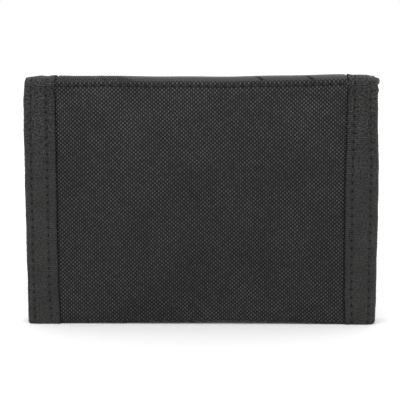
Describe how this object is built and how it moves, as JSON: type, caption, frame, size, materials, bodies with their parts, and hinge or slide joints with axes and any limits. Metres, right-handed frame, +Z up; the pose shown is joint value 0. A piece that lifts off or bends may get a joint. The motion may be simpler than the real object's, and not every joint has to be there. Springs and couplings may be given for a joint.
{
  "type": "bifold wallet",
  "caption": "Bifold wallet of coarse black woven cloth with ribbon-bound sides, opening at a top fold onto card pockets and a clear window, with a zipped coin pocket on its front cover.",
  "frame": {"origin": "middle of the base that the closed wallet stands on, at the centre of its footprint", "axes": "+X along the fold, +Y out of the front cover with its zip, so the plain back panel faces -Y, +Z up from the free edges to the fold"},
  "size_m": [0.13, 0.0162, 0.0925],
  "materials": {
    "woven_shell": "coarse black plain weave with a dull sheen",
    "printed_shell": "the same coarse weave under a smooth grey-brown print",
    "binding_ribbon": "ribbed black ribbon",
    "lining_cloth": "fine black lining cloth",
    "interlining": "thin flexible board",
    "clear_film": "clear soft film",
    "hook_and_loop": "black hook and loop tape",
    "zip_tape": "fine black woven tape",
    "zip_coil": "black nylon coil",
    "zip_metal": "dark gunmetal plating"
  },
  "bodies": {
    "front_half": {"left_front_binding": "binding_ribbon", "right_front_binding": "binding_ribbon", "front_panel_upper": "printed_shell", "front_panel_lower": "printed_shell", "zip_tape_upper": "zip_tape", "zip_tape_lower": "zip_tape", "zip_coil_upper": "zip_coil", "zip_coil_lower": "zip_coil", "zip_top_stop_upper": "zip_metal", "zip_top_stop_lower": "zip_metal", "zip_bottom_stop": "zip_metal", "coin_pocket_lining": "lining_cloth", "front_interlining": "interlining", "front_lining": "lining_cloth", "id_window": "clear_film", "id_window_tape": "binding_ribbon", "hook_strip": "hook_and_loop"},
    "spine": {"spine_panel": "printed_shell", "spine_lining": "lining_cloth", "left_spine_binding": "binding_ribbon", "right_spine_binding": "binding_ribbon"},
    "back_half": {"left_back_binding": "binding_ribbon", "right_back_binding": "binding_ribbon", "back_panel": "woven_shell", "back_interlining": "interlining", "bill_pocket_wall": "lining_cloth", "card_pocket_1": "lining_cloth", "card_pocket_2": "lining_cloth", "card_pocket_3": "lining_cloth", "loop_strip": "hook_and_loop"},
    "slider": {"zip_slider": "zip_metal"},
    "puller": {"zip_puller": "zip_metal"}
  },
  "joints": [
    {"name": "front_fold", "type": "hinge", "parent": "front_half", "child": "spine", "pos_m": [0, 0.00376, 0.09061], "axis": [-1, 0, 0], "range_deg": [0, 90], "deforming": ["spine_panel", "spine_lining", "left_spine_binding", "right_spine_binding"]},
    {"name": "back_fold", "type": "hinge", "parent": "spine", "child": "back_half", "pos_m": [0, -0.00546, 0.09061], "axis": [-1, 0, 0], "range_deg": [0, 90], "deforming": ["spine_panel", "spine_lining", "left_spine_binding", "right_spine_binding"]},
    {"name": "zip_slide", "type": "slide", "parent": "front_half", "child": "slider", "axis": [1, 0, 0], "range_m": [0, 0.088]},
    {"name": "puller_swing", "type": "hinge", "parent": "slider", "child": "puller", "pos_m": [-0.044, 0.0067, 0.0685], "axis": [0, 0, 1], "range_deg": [0, 180]}
  ],
  "couplings": [
    {"joint": "back_fold", "follows": "front_fold", "ratio": 1}
  ]
}
